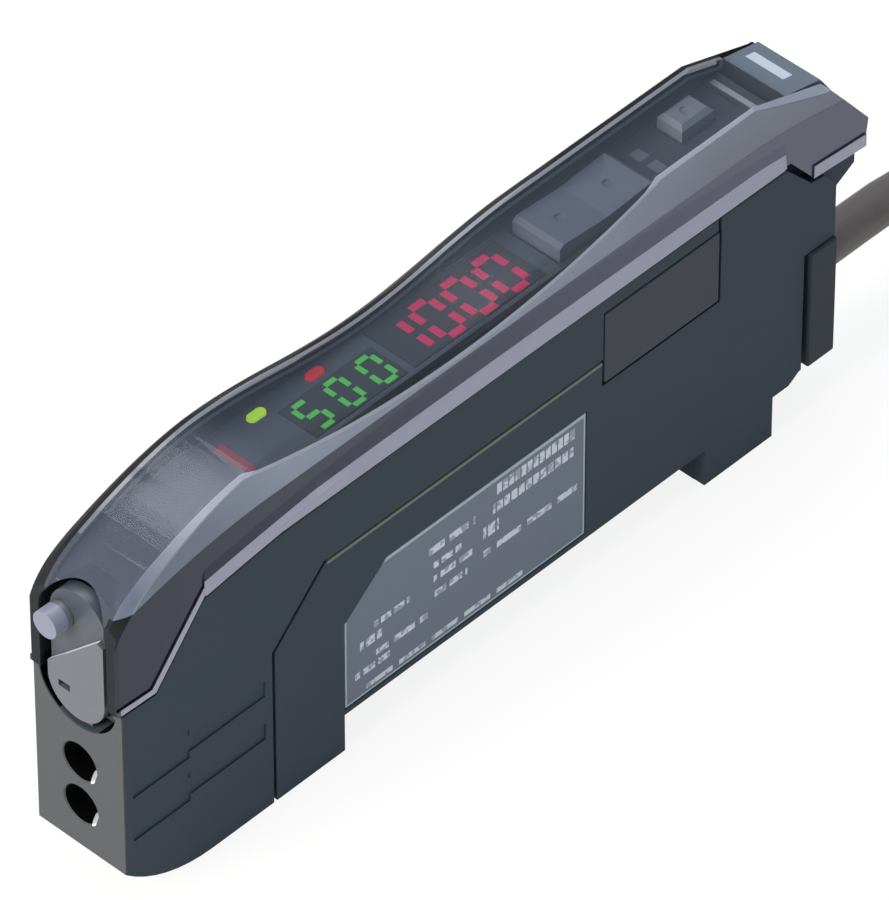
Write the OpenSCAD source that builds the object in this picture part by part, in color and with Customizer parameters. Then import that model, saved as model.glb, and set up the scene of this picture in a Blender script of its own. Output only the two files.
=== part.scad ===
// Slim fibre optic sensor amplifier: moulded case on a rail foot, hinged smoked cover,
// two displays, keys, fibre lock lever and a stripped cable tied into a hank.
// Lengths are in millimetres. X runs from the fibre ports to the cable, Z is up and
// the label side faces -Y. Inside the modules X is counted from the front face.

/* [Case] */
// Length from the front face to the rear face
case_len = 72; // [71:0.5:76]
// Width over the two side walls
case_w = 8.4; // [8.4:0.1:9.6]
// Thickness of the case walls
wall = 1; // [0.8:0.1:1.1]
// Thickness of the neck walls that carry the panel
neck_wall = 0.8; // [0.6:0.1:0.9]
// Rise of the panel that carries the displays and keys above the rim's crest
panel_rise = 2.65; // [2.4:0.05:2.7]
// Thickness of the panel
panel_t = 1; // [0.9:0.1:1.1]

/* [Rail foot] */
// Distance from the front face to the rail notch
notch_start = 21.6; // [20:0.2:23]
// Width of the notch that takes the mounting rail
notch_w = 37; // [36.6:0.1:37.4]
// Depth of the notch above the soles
notch_h = 3.4; // [3:0.1:3.6]
// Reach of the catch lips at the two ends of the notch
lip = 1.1; // [0.8:0.1:1.3]
// Length of the rear foot
rear_foot = 7.2; // [6.4:0.2:7.6]
// Height of the lower front edge above the soles
nose_rise = 3.5; // [3:0.1:4]
// Length of the rounded lower front edge
nose_run = 8.5; // [7:0.5:10]

/* [Side cover] */
// Thickness of the side cover
side_t = 1; // [0.8:0.1:1.1]
// Distance from the front face to the side cover's front seam
seam_u = 14.8; // [14.4:0.1:15.2]
// Depth of the seam's long upper edge below the rim's crest
seam_drop = 7.3; // [7.1:0.1:7.6]
// Width of the groove along the seam
seam_gap = 0.3; // [0.15:0.05:0.35]
// Size of the seam's cut front corner
seam_cut = 5; // [4:0.2:5.4]
// Thickness of the rating label film
label_t = 0.15; // [0.1:0.05:0.25]

/* [Smoked cover] */
// Wall thickness of the smoked cover
hood_wall = 0.85; // [0.75:0.05:0.9]
// Step of the cover's wall inside the case width
hood_step = 0.15; // [0.1:0.05:0.2]
// Rise of the cover's two crests above the panel
hood_rise = 2.75; // [2.7:0.05:3.2]
// Depth of the dip between the crests
hood_dip = 1.5; // [1:0.1:1.5]
// Depth of the shoulder line, where the flanks start to lean in, below the crests
shoulder_drop = 3; // [2.6:0.1:3.2]
// Lean of the flanks above the shoulder in degrees
shoulder_lean = 10; // [6:1:11]
// Distance of the bevel along the top edges from the full width
hood_bevel = 0.8; // [0.7:0.05:0.9]
// Height of the flared band along the lower rim
band_h = 2.2; // [1.6:0.1:2.6]
// Flare of that band
band_flare = 0.25; // [0.1:0.05:0.35]
// Height of the rim at its crest, which the other heights follow
rim_crest = 26.6; // [26.4:0.1:27]
// Radius of the hinge studs
stud_r = 0.9; // [0.7:0.05:1]

/* [Fibre ports] */
// Radius of the two fibre ports
port_r = 1.2; // [1.05:0.05:1.3]
// Distance between the two ports
port_pitch = 4.1; // [4:0.05:4.3]
// Insertion depth of a fibre
port_depth = 14; // [13.5:0.1:14]

/* [Fibre lever] */
// Gap between the lever and the cover's arch
lever_gap = 0.5; // [0.3:0.05:0.6]
// Radius of the lever's hinge pin
pin_r = 0.4; // [0.3:0.05:0.45]
// Radius of the thumb stud
thumb_r = 1.1; // [0.9:0.05:1.1]
// Reach of the thumb stud in front of the front face
thumb_reach = 1.4; // [1.1:0.1:1.8]

/* [Displays] */
// Height of a green digit
green_h = 3.2; // [2.8:0.1:3.3]
// Height of a red digit
red_h = 4.4; // [3.8:0.1:4.5]
// Distance between green digits
green_pitch = 3.1; // [2.9:0.1:3.2]
// Distance between red digits
red_pitch = 3.15; // [3:0.05:3.2]
// Width of a green digit's strokes
green_stroke = 0.4; // [0.3:0.05:0.45]
// Width of a red digit's strokes
red_stroke = 0.6; // [0.45:0.05:0.65]

/* [Keys] */
// Length of the rocker key
rocker_len = 9.7; // [9:0.1:9.8]
// Height of the keys above the panel
key_h = 1.25; // [1:0.05:1.3]
// Length of the set key
set_len = 3.3; // [3:0.1:3.5]

/* [Cable] */
// Diameter of the cable
cable_d = 3.4; // [3.2:0.1:3.5]
// Height of the cable where it leaves the case
cable_z = 9.5; // [9.2:0.1:9.8]
// Diameter of one stripped lead
lead_d = 1.1; // [0.9:0.1:1.2]
// Length of the straight runs of the tied hank
hank_run = 58; // [54:1:58]

/* [Fits] */
// Gap between the smoked cover and the fixed pieces
hood_gap = 0.25; // [0.2:0.05:0.3]
// Gap round the seated pieces
seat_gap = 0.05; // [0.03:0.01:0.08]
// Radial clearance of the hinge pins
run_gap = 0.05; // [0.03:0.01:0.08]
// Gap round the keys
key_gap = 0.15; // [0.1:0.05:0.2]

/* [Hidden] */
$fn = 48;
eps = 0.01;
far = 200;

// Places along the case and heights that keep their share of its length and of the rim's height
function along(share) = share * case_len;
function up(share) = share * rim_crest;

// Half widths across the case, from the outside in
case_half = case_w / 2;
hood_half = case_half - hood_step;
hood_in = hood_half - hood_wall;
neck_half = hood_in - hood_gap;
bay_half = neck_half - neck_wall;
shelf_half = neck_half - 0.45;
tray_half = case_half - wall;

// Places along the case
notch_end = notch_start + notch_w;
foot_end = notch_end + rear_foot;
bush_u = case_len - 3.2;
bush_low = 4.45;
bush_high = 15.45;
tongue_len = 1.9;
tongue_half = 3;
stud_reach = 0.35;
hinge = [case_len + 1.3, up(0.87218)];
ear_end = case_len + 3.4;
mid_u = (ear_end - thumb_reach) / 2;
block_u = case_len - 4.5;
hood_end = block_u - 0.3;

// Lower rim of the smoked cover
hood_front = -0.3;
leg_z = up(0.70489);
knee_low = [3.35, up(0.69925)];
knee_high = [8.2, up(0.91541)];
rim_mid_u = along(0.56944);
rim_end = [case_len - 5.5, up(0.95113)];
rim_gap = 0.18;

// Upper line of the smoked cover and the shoulder line on its flanks
panel_z = rim_crest + panel_rise;
hood_crest = panel_z + hood_rise;
brow = [4.2, hood_crest - 2.6];
crest_1 = along(0.20833);
crest_2 = along(0.63889);
tail = [case_len - 8.2, hood_crest + 0.1];
heel = [case_len - 0.9, hood_crest - 2.3];
shoulder_z = hood_crest - shoulder_drop;
ear_low = [[case_len - 2.4, hinge.y - 0.85], [ear_end - 0.3, hinge.y - 1.3]];

// Inner levels
tray_z = notch_h + 1.4;
panel_low = panel_z - panel_t;
board_t = 0.8;
board_top = panel_low - 0.9;
board_face = bay_half - 1.2;
bay_start = 16.5;
shelf_start = 14.2;
bay_end = case_len - 5.8;
neck_front = 5.5;
panel_front = 8.2;
panel_end = block_u - 0.4;

// Side cover's upper seam and the expansion connector's pocket in the label side
seam_z = rim_crest - seam_drop;
pocket_u = [along(0.6625), along(0.83056)];
pocket_z = [up(0.64286), up(0.8985)];
pocket_y = -1.4;

// Fibre ports and lever
port_z = up(0.43421);
recess_mid = up(0.70301);
lever_low = recess_mid - 2.85;
lever_high = up(1.02256);
lever_pin_at = [0.9, recess_mid - 1.6];
lever_half = hood_in - lever_gap;
lever_face = 0.3;
lever_back = 2.3;
plate_face = -0.1;
recess_half = case_half - 0.5;
recess_back = 2.9;
thumb_at = [1.5, up(0.92105)];

// Panel layout
rocker_u = along(0.69583);
rocker_half = 2.4;
rocker_axis = [rocker_u, panel_low + 0.5];
rocker_pin = 0.35;
set_u = along(0.85833);
set_box = [[set_u - set_len / 2, 0], [set_u + set_len / 2, shelf_half - 0.1]];
dot_r = 0.45;
dot_at = 2.45;
green_box = [[along(0.28889), -neck_half + 0.4], [along(0.41528), 1.2]];
red_box = [[along(0.42361), -neck_half + 0.4], [along(0.60556), neck_half - 0.5]];
green_mid = [along(0.35278), -0.75];
red_mid = [along(0.50972), -0.2];
lamp_size = [1.7, 0.9];
lime_at = [along(0.27222), shelf_half - 0.48];
alarm_at = [along(0.35139), shelf_half - 0.48];
bar_box = [[15.1, -1.75], [15.9, 1.75]];
lens_rise = 0.15;
digit_rise = 0.06;

// Route of the cable outside the case, down to the first row of its hank
cable_route = [
    [29.5, 0, cable_z], [33, 0, cable_z], [37, 0, cable_z], [42, 0, cable_z], [45, 0, 9.45],
    [48, 0, 9.1], [51, 0, 8.2], [54, 0, 6.9], [57, 0, 5.45], [60, 0, 4.15], [63, 0, 3.1],
    [66, 0, 2.45], [69, 0, 2.2], [74, 0, 2.15]
];

// Hank of two lanes, whose inner lane is one row lower, tied round one run
hank_lift = 0.45;
hank_rows = 7;
hank_high = hank_lift + hank_rows * cable_d;
fold_in = 8.7;
fold_mid = fold_in + cable_d;
fold_out = fold_mid + cable_d;
hank_at = [74, -fold_out + cable_d / 2];
tie_w = 3;
tie_t = 0.4;
lead_start = 14;
lead_len = 40;

// Centre of the circle through three points
function circle_mid(a, b, c) =
    let (d = 2 * (a.x * (b.y - c.y) + b.x * (c.y - a.y) + c.x * (a.y - b.y)))
    [
        (a * a * (b.y - c.y) + b * b * (c.y - a.y) + c * c * (a.y - b.y)) / d,
        (a * a * (c.x - b.x) + b * b * (a.x - c.x) + c * c * (b.x - a.x)) / d
    ];

// Points of the arc from a through b to c
function arc(a, b, c, n) =
    let (m = circle_mid(a, b, c), r = norm(a - m))
    let (t0 = atan2(a.y - m.y, a.x - m.x), t1 = atan2(c.y - m.y, c.x - m.x))
    [for (i = [0:n]) m + r * [cos(t0 + (t1 - t0) * i / n), sin(t0 + (t1 - t0) * i / n)]];

// Points of the curve from a to c that is drawn towards b
function curve(a, b, c, n) =
    [for (i = [0:n]) let (t = i / n) (1 - t) * (1 - t) * a + 2 * t * (1 - t) * b + t * t * c];

function reversed(list) = [for (i = [len(list) - 1:-1:0]) list[i]];
function moved(list, by) = [for (p = list) p + by];

// Lower rim of the cover, lowered by d
function rim(d) = arc(knee_high - [0, d], [rim_mid_u, rim_crest - d], rim_end - [0, d], 16);

// Upper line of the cover from its front edge to its heel, set inwards by d
function hood_top(d) =
    let (start = [hood_front + d, rim_crest - 1], bend = brow + [d, -d], top = hood_crest - d)
    let (rise = curve(bend, [10.4, top], [crest_1, top], 12))
    concat(
        curve(start, [hood_front + d + 0.9, bend.y - 1.45], bend, 12),
        [for (i = [1:12]) rise[i]],
        [for (i = [1:32]) let (t = i / 32)
            [crest_1 + t * (crest_2 - crest_1), top - hood_dip * (1 - cos(360 * t)) / 2]],
        [tail - [0, d], heel - [0, d]]
    );

// Line on the flanks above which they lean in
shoulder = concat(
    curve([hood_front, shoulder_z - 2.4], [6, shoulder_z - 0.1], [crest_1, shoulder_z], 6),
    curve([case_len - 11, shoulder_z], [case_len - 4, shoulder_z - 0.1], [ear_end, shoulder_z - 2], 4)
);

// Outline of the rounded lower front edge
nose_r = (nose_run * nose_run + nose_rise * nose_rise) / (2 * nose_rise);
nose_angle = asin(nose_run / nose_r);
nose = [for (i = [0:8]) let (a = nose_angle * (1 - i / 8))
    [nose_run - nose_r * sin(a), nose_r - nose_r * cos(a)]];

// Side outline of the case at its full width
case_outline = concat(
    nose,
    [
        [notch_start, 0], [notch_start, notch_h], [notch_end, notch_h], [notch_end, 0],
        [foot_end, 0], [foot_end, bush_low - 0.7], [bush_u - 1.3, bush_low - 0.7], [bush_u - 0.2, bush_low],
        [bush_u, bush_low], [bush_u, bush_high], [case_len, bush_high], [case_len, up(0.76316)],
        [case_len - 1.3, up(0.82331)], [case_len - 2.7, up(0.83083)]
    ],
    reversed(rim(rim_gap)),
    [knee_low - [0, rim_gap + 0.05], [0, leg_z - rim_gap - 0.05]]
);

// Side outline of the neck, the rear block and the hinge lug
neck_outline = [
    [neck_front, up(0.6015)], [neck_front, up(0.88722)], [panel_front + 0.2, panel_low],
    [block_u, panel_low], [block_u, hood_crest - 1.4], [case_len - 0.7, hood_crest - 2.2],
    [ear_end - 0.4, hinge.y + 1.2], [ear_end - 0.1, hinge.y + 0.6], [ear_end - 0.1, hinge.y - 3.7],
    [case_len, up(0.66165)], [bay_end, up(0.6391)]
];

// Seam region of the side cover, grown by g at its seams
function seam(g) = [
    [seam_u - g, -1], [seam_u - g, seam_z - seam_cut + g / 2], [seam_u + seam_cut - g / 2, seam_z + g],
    [pocket_u[1] - g, seam_z + g], [pocket_u[1] - g, far], [far, far], [far, -1]
];

// Rectangle from a to b with its two upper corners cut by c
function bevelled(a, b, low, high, c) =
    [[a, low], [b, low], [b, high - c], [b - c, high], [a + c, high], [a, high - c]];

// Solid with a side outline, centred across the case
module side_solid(outline, half) {
    rotate([90, 0, 0]) linear_extrude(2 * half, center = true) polygon(outline);
}

// Solid with a side outline between two places across the case
module side_slab(outline, y0, y1) {
    translate([0, y1, 0]) rotate([90, 0, 0]) linear_extrude(y1 - y0) polygon(outline);
}

// Solid with a front outline between two places along the case
module front_slab(outline, u0, u1) {
    translate([u0, 0, 0]) rotate([90, 0, 90]) linear_extrude(u1 - u0) polygon(outline);
}

// Box between two corners
module box(low, high) {
    translate(low) cube(high - low);
}

// Bar along X, Y or Z
module bar_x(u0, u1, y, z, r) {
    translate([u0, y, z]) rotate([0, 90, 0]) cylinder(u1 - u0, r, r);
}
module bar_y(at, y0, y1, r) {
    translate([at.x, y1, at.y]) rotate([90, 0, 0]) cylinder(y1 - y0, r, r);
}

// Everything below a surface that slopes outwards by angle a and passes line at the given half width
module under_slope(line, half, a) {
    upper = [for (p = line) [p.x, half * cos(a) + p.y * sin(a)]];
    last = upper[len(upper) - 1];
    outline = concat(upper, [[far, last.y], [far, -far], [-far, -far], [-far, upper[0].y]]);
    rotate([a, 0, 0]) linear_extrude(2 * far, center = true) polygon(outline);
}

// Both sides of such a slope
module under_slopes(line, half, a) {
    intersection() {
        under_slope(line, half, a);
        mirror([0, 1, 0]) under_slope(line, half, a);
    }
}

// Front outline with round ends, from low to high
module front_oblong(half, low, high, u0, u1) {
    bar_x(u0, u1, 0, low + half, half);
    bar_x(u0, u1, 0, high - half, half);
    box([u0, -half, low + half], [u1, half, high - half]);
}

// Flat oblong lens or its hole
module oblong(at, size, z0, z1) {
    reach = (size.x - size.y) / 2;
    for (side = [-1, 1]) {
        translate([at.x + side * reach, at.y, z0]) cylinder(z1 - z0, size.y / 2, size.y / 2);
    }
    box([at.x - reach, at.y - size.y / 2, z0], [at.x + reach, at.y + size.y / 2, z1]);
}

// Flat box lens or its hole, grown by g
module panel_box(corners, z0, z1, g) {
    box([corners[0].x - g, corners[0].y - g, z0], [corners[1].x + g, corners[1].y + g, z1]);
}

// Moulded case with its front block, neck, rear block and hinge lug
module main_case() {
    gauge_low = case_half - 0.12;
    color("#3d464d") difference() {
        union() {
            side_solid(case_outline, case_half);
            side_solid(neck_outline, neck_half);
            bar_y(hinge, -hood_in - stud_reach, hood_in + stud_reach, stud_r);
            rail_lips();
        }
        tray();
        side_slab(seam(seam_gap), -far, -case_half + side_t);
        pocket(0);
        fibre_ports();
        lever_recess();
        bush_seat();
        fibre_gauge(-case_half - eps, -gauge_low);
    }
}

// Catch lips that hold the edges of the mounting rail
module rail_lips() {
    half = tray_half - side_t;
    for (end = [[notch_start, 1], [notch_end, -1]]) {
        root = end[0] - end[1] * eps;
        tip = end[0] + end[1] * lip;
        side_solid([[root, 0.5], [tip, 1.2], [tip, 1.7], [root, 1.9]], half);
    }
}

// Space inside the case for the boards, and the slot up through the neck
module tray() {
    land = 0.9;
    side_slab([
        [seam_u + land, tray_z], [bush_u - 1.4, tray_z], [bush_u - 1.4, seam_z - land],
        [seam_u + seam_cut + land / 2, seam_z - land], [seam_u + land, seam_z - seam_cut - land / 2]
    ], -far, tray_half);
    box([bay_start, -bay_half, tray_z + wall], [bay_end, bay_half, panel_z]);
    box([shelf_start, -shelf_half, board_top - board_t], [bay_end, shelf_half, panel_z]);
}

// Pocket of the expansion connector, grown by g
module pocket(g) {
    box([pocket_u[0] - g, -far, pocket_z[0] - g], [pocket_u[1] + g, pocket_y, pocket_z[1] + g]);
}

// Two blind ports with funnelled mouths, and the light holes behind them
module fibre_ports() {
    funnel = 0.8;
    for (i = [0, 1]) {
        z = port_z - i * port_pitch;
        bar_x(-eps, port_depth, 0, z, port_r);
        translate([-eps, 0, z]) rotate([0, 90, 0]) cylinder(funnel, port_r + 0.5, port_r);
        bar_x(port_depth - eps, seam_u + 2, 0, z, port_r / 2);
    }
}

// Round-ended recess in the front block that takes the lever, with its pin holes
module lever_recess() {
    front_oblong(recess_half, recess_mid - recess_half, far, -far, recess_back);
    bar_y(lever_pin_at, -case_half + 0.2, case_half - 0.2, pin_r + seat_gap / 2);
    grip_seat(seat_gap);
}

// Seat of the fibre grip under the lever, grown by g
module grip_seat(g) {
    low = port_z + port_r + 0.4;
    high = recess_mid - recess_half + 0.15;
    half = 1.2;
    box([half - g, -half - g, low - g], [2.7 + g, half + g, high]);
}

// Slot behind the cable bush
module bush_seat() {
    side = bay_half + seat_gap;
    reach = tongue_half + seat_gap;
    box([bush_u - tongue_len - 0.1, -side, cable_z - reach], [bush_u + eps, side, cable_z + reach]);
}

// Shallow picture of two stripped fibres on the side of the front block
module fibre_gauge(y0, y1) {
    for (i = [0, 1]) {
        z = port_z - i * port_pitch;
        box([0.9, y0, z - 1.35], [6.4, y1, z + 1.35]);
        box([6.4 - eps, y0, z - 0.75], [13.8, y1, z + 0.75]);
    }
}

// Flat cover that closes the case on the label side
module side_cover() {
    color("#3f484f") difference() {
        intersection() {
            side_slab(case_outline, -case_half, -case_half + side_t);
            side_slab(seam(0), -far, far);
        }
        pocket(seat_gap);
        side_slab(label_outline(0.1), -far, -case_half + label_t + 0.05);
    }
}

// Outline of the rating label, grown by g
label_end = along(0.63889);
label_top = up(0.58647);
function label_outline(g) = [
    [notch_start + 0.1 - g, notch_h + 0.6 - g], [label_end + g, notch_h + 0.6 - g],
    [label_end + g, label_top + g], [notch_start + 4.3 - g / 2, label_top + g],
    [notch_start + 0.1 - g, label_top - 3.5 + g / 2]
];

// Rating label film in its shallow recess
module rating_label() {
    color("#5c6672") side_slab(label_outline(0), -case_half + 0.05, -case_half + label_t + 0.05);
}

// Smoked hinged cover with a flared rim and two hinge ears
module dust_cover() {
    rim_line = rim(0);
    outer = concat(
        [[hood_front, leg_z]], hood_top(0),
        [[ear_end, hinge.y + 1.1], ear_low[1], ear_low[0], [case_len - 4.8, hinge.y + 2]],
        reversed(rim_line), [knee_low]
    );
    inner = concat([[hood_front + hood_wall, -1]], hood_top(hood_wall), [[far, heel.y], [far, -1]]);
    color("#5a606c", 0.6) difference() {
        union() {
            intersection() {
                side_solid(outer, hood_half);
                under_slopes(shoulder, hood_half, shoulder_lean);
                under_slopes(hood_top(0), hood_half - hood_bevel, 45);
            }
            intersection() {
                side_solid(concat(rim_line, reversed(moved(rim_line, [0, band_h]))), case_w);
                under_slopes(moved(rim_line, [0, band_h]), hood_half, atan(band_flare / band_h));
            }
            edge_bands();
        }
        side_solid(inner, hood_in);
        front_oblong(hood_in, -far, lever_high + 0.5, -far, recess_back);
        box([hood_end, -hood_in, -1], [far, hood_in, far]);
        bar_y(hinge, -hood_in - stud_reach - seat_gap, hood_in + stud_reach + seat_gap, stud_r + run_gap);
    }
}

// Narrow proud bands along the edges of the front legs, the knees and the ears
module edge_bands() {
    leg_band = 0.5;
    ear_band = 1.1;
    proud = 0.15;
    run_on = [0.32, 0.38];
    side_solid([
        [hood_front, leg_z], knee_low, knee_high, knee_high + run_on,
        knee_high + run_on + leg_band * [-0.77, 0.64],
        knee_low + leg_band * [-0.6, 1], [hood_front, leg_z + leg_band]
    ], hood_half + proud);
    side_solid(concat(ear_low, reversed(moved(ear_low, [0, ear_band]))), hood_half + proud);
}

// Dark panel on top of the neck, with openings for the displays, lamps and keys
module panel_plate() {
    color("#2b3138") difference() {
        union() {
            box([panel_front, -neck_half, panel_low], [panel_end, neck_half, panel_z]);
            box([panel_end - 1.4, -neck_half, panel_z - eps], [panel_end, neck_half, panel_z + 0.3]);
        }
        panel_box(green_box, panel_low - eps, far, 0);
        panel_box(red_box, panel_low - eps, far, 0);
        panel_box(bar_box, panel_low - eps, far, 0);
        oblong(lime_at, lamp_size, panel_low - eps, far);
        oblong(alarm_at, lamp_size, panel_low - eps, far);
        rocker_hole();
        panel_box(set_box, panel_low - eps, far, key_gap);
    }
}

// Opening of the rocker key with the seats of its axle
module rocker_hole() {
    reach = rocker_len / 2 + 2 * key_gap;
    side = rocker_half + seat_gap;
    box([rocker_u - reach, -side, panel_low - eps], [rocker_u + reach, side, far]);
    bar_y(rocker_axis, -neck_half + 0.15, neck_half - 0.15, rocker_pin + run_gap);
}

// Display block, seated on the display board
module display_block(corners) {
    panel_box(corners, board_top, panel_z + seat_gap, -seat_gap);
}
module green_display() {
    color("#1c2420") display_block(green_box);
}
module red_display() {
    color("#241c1e") display_block(red_box);
}

// One seven-stroke digit that stands on +Y, with its strokes as small bars
module digit(strokes, at, h, stroke) {
    w = h * 0.52;
    z = panel_z + seat_gap + digit_rise / 2;
    places = [
        ["a", [0, h / 2], true], ["g", [0, 0], true], ["d", [0, -h / 2], true],
        ["f", [-w / 2, h / 4], false], ["b", [w / 2, h / 4], false],
        ["e", [-w / 2, -h / 4], false], ["c", [w / 2, -h / 4], false]
    ];
    for (p = places) if (len(search(p[0], strokes)) > 0) {
        long = (p[2] ? w : h / 2) - stroke * 1.1;
        size = p[2] ? [long, stroke] : [stroke, long];
        translate([at.x + p[1].x, at.y + p[1].y, z]) cube([size.x, size.y, digit_rise], center = true);
    }
}

// Row of digits about a middle
module digit_row(row, mid, pitch, h, stroke) {
    for (i = [0:len(row) - 1]) digit(row[i], mid + [(i - (len(row) - 1) / 2) * pitch, 0], h - stroke, stroke);
}
module green_digits() {
    shown = ["acdfg", "abcdef", "abcdef"];
    color("#39d08a") digit_row(shown, green_mid, green_pitch, green_h, green_stroke);
}
module red_digits() {
    shown = ["bc", "abcdef", "abcdef", "abcdef"];
    color("#e0557a") digit_row(shown, red_mid, red_pitch, red_h, red_stroke);
}

// Indicator lenses that stand on the display board
module lime_lamp() {
    color("#b6e34a") oblong(lime_at, lamp_size - [0.1, 0.1], board_top, panel_z + lens_rise);
}
module alarm_lamp() {
    color("#d8303a") oblong(alarm_at, lamp_size - [0.1, 0.1], board_top, panel_z + lens_rise);
}
module bar_lens() {
    color("#c8323a") panel_box(bar_box, board_top, panel_z + lens_rise, -seat_gap);
}

// Rocker key with raised ends, two finger dots and its axle
module rocker_key() {
    low = panel_low + 0.4;
    high = panel_z + key_h;
    end = rocker_len / 2;
    color("#aab0bb") difference() {
        union() {
            side_solid([
                [rocker_u - end, low], [rocker_u + end, low], [rocker_u + end, high - 0.3],
                [rocker_u + end - 0.4, high], [rocker_u, high - 0.3],
                [rocker_u - end + 0.4, high], [rocker_u - end, high - 0.3]
            ], rocker_half - key_gap);
            bar_y(rocker_axis, -neck_half + 0.2, neck_half - 0.2, rocker_pin);
        }
        for (side = [-1, 1]) translate([rocker_u + side * dot_at, 0, high - 0.3]) cylinder(1, dot_r, dot_r);
    }
}

// Set key with a bevelled top and one finger dot
module set_key() {
    low = panel_low + 0.2;
    high = panel_z + key_h;
    near = set_box[0];
    away = set_box[1];
    color("#aab0bb") difference() {
        intersection() {
            side_slab(bevelled(near.x, away.x, low, high, 0.35), near.y, away.y);
            front_slab(bevelled(near.y, away.y, low, high, 0.35), near.x, away.x);
        }
        translate([set_u, (near.y + away.y) / 2, high - 0.15]) cylinder(1, dot_r, dot_r);
    }
}

// Push switches under the keys
module tact_switches() {
    body_h = 0.35;
    body_half = 1.1;
    rocker_top = panel_low + 0.2;
    set_top = panel_low - 0.3;
    places = [
        [rocker_u - dot_at, 0, rocker_top], [rocker_u + dot_at, 0, rocker_top], [set_u, 0.9, set_top]
    ];
    color("#8a8d92") for (p = places) {
        box([p.x - body_half, p.y - body_half, board_top],
            [p.x + body_half, p.y + body_half, board_top + body_h]);
        translate([p.x, p.y, board_top + body_h - eps]) cylinder(p.z - board_top - body_h, 0.5, 0.5);
    }
}

// Display board across the neck and main board on edge below it
module display_board() {
    color("#2f5a45") box([shelf_start + seat_gap, -shelf_half + seat_gap, board_top - board_t],
        [bay_end - seat_gap, shelf_half - seat_gap, board_top]);
}
module main_board() {
    color("#2f5a45") box([seam_u + 4, board_face, tray_z + wall + 0.2],
        [bay_end - 0.3, bay_half - 0.2, board_top - board_t - seat_gap]);
}

// Chips on the main board
module board_chips() {
    face = board_face;
    color("#202226") {
        box([along(0.33333), face - 0.9, up(0.30075)], [along(0.43056), face, up(0.56391)]);
        box([along(0.48611), face - 0.8, up(0.33835)], [along(0.55556), face, up(0.48872)]);
        box([bay_end - 4.2, face - 1.1, up(0.33835)], [bay_end - 1.7, face, up(0.56391)]);
    }
}

// Holder that lines up the light source and the light sensor with the ports
module optic_holder() {
    front = seam_u + 0.9;
    rim_t = 1.5;
    color("#17191c") difference() {
        box([front, -2, port_z - port_pitch - rim_t], [front + 2.8, 2, port_z + rim_t]);
        for (i = [0, 1]) bar_x(front - 1, front + 4, 0, port_z - i * port_pitch, 1.2 + seat_gap);
    }
}

// Round optical device with two legs that reach the main board
module optic_device(z) {
    front = seam_u + 0.9;
    bar_x(front + 0.1, front + 2.8, 0, z, 1.2);
    for (leg = [-0.6, 0.6]) bar_x(front + 2.7, front + 4.5, board_face - 0.25, z + leg, 0.2);
}
module emitter_led() {
    color("#d9dde2") optic_device(port_z);
}
module receiver_diode() {
    color("#3a3f58") optic_device(port_z - port_pitch);
}

// Rubber block that the lever's cam presses towards the fibres
module fibre_grip() {
    color("#2a2a2c") grip_seat(0);
}

// Fibre lock lever: slanted front plate, round-ended body, thumb stud and cam
module fibre_lever() {
    plate_top = [
        [far, -far], [far, recess_mid + 0.7], [2.9, recess_mid + 0.7], [1, recess_mid + 2.5],
        [-2.1, recess_mid + 5.6], [-2.8, recess_mid + 5.3], [-far, recess_mid + 4.2], [-far, -far]
    ];
    hollow = lever_back - 0.9;
    slot_y = [0.6, 1.7];
    slot_z = [recess_mid - 0.85, recess_mid - 0.25];
    color("#b9bdc8") difference() {
        union() {
            front_oblong(lever_half, lever_low + 0.6, lever_high, lever_face, lever_back);
            intersection() {
                front_oblong(lever_half, lever_low, lever_high, plate_face, lever_face + 0.4);
                front_slab(plate_top, -far / 2, far / 2);
            }
            bar_x(-thumb_reach, lever_face + eps, thumb_at.x, thumb_at.y, thumb_r);
            intersection() {
                bar_y(lever_pin_at, -1.1, 1.1, 1.75);
                box([lever_face, -far, -far], [far, far, lever_pin_at.y + 1]);
            }
        }
        bar_y(lever_pin_at, -far, far, pin_r + run_gap);
        box([-far, slot_y[0], slot_z[0]], [lever_face + 0.4, slot_y[1], slot_z[1]]);
        side_solid([
            [hollow, far], [hollow, lever_high - 5], [lever_back + eps, lever_high - 8], [far, far]
        ], lever_half - 0.8);
    }
}
module lever_pin() {
    color("#c9ccd0") bar_y(lever_pin_at, -case_half + 0.25, case_half - 0.25, pin_r);
}

// Pull-off cover of the expansion connector with two snap legs
module expansion_cover() {
    gap = key_gap;
    u0 = pocket_u[0] + gap;
    u1 = pocket_u[1] - gap;
    inner = -case_half + 0.9;
    leg_t = 0.6;
    color("#55545a") {
        box([u0, -case_half - 0.05, pocket_z[0] + gap], [u1, inner, pocket_z[1] - gap]);
        for (u = [u0, u1 - leg_t]) {
            box([u, inner - eps, pocket_z[0] + 1.5], [u + leg_t, inner + 1.1, pocket_z[1] - 1.5]);
        }
    }
}

// Expansion connector on the main board, with its contact pins
module expansion_socket() {
    shell = 0.7;
    low = [pocket_u[0] + 1.5, pocket_y - 0.6, pocket_z[0] + 1.2];
    high = [pocket_u[1] - 1.5, board_face, pocket_z[1] - 1.2];
    color("#26282c") difference() {
        box(low, high);
        box([low.x + shell, -far, low.z + shell], [high.x - shell, pocket_y + 1.2, high.z - shell]);
    }
}
module socket_pins() {
    count = 4;
    pitch = 1.8;
    mid_x = (pocket_u[0] + pocket_u[1]) / 2;
    mid_z = (pocket_z[0] + pocket_z[1]) / 2;
    color("#c9a54a") for (i = [0:count - 1]) {
        at = [mid_x + (i - (count - 1) / 2) * pitch, mid_z];
        bar_y(at, pocket_y - 0.2, pocket_y + 1.2, 0.3);
    }
}

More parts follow.
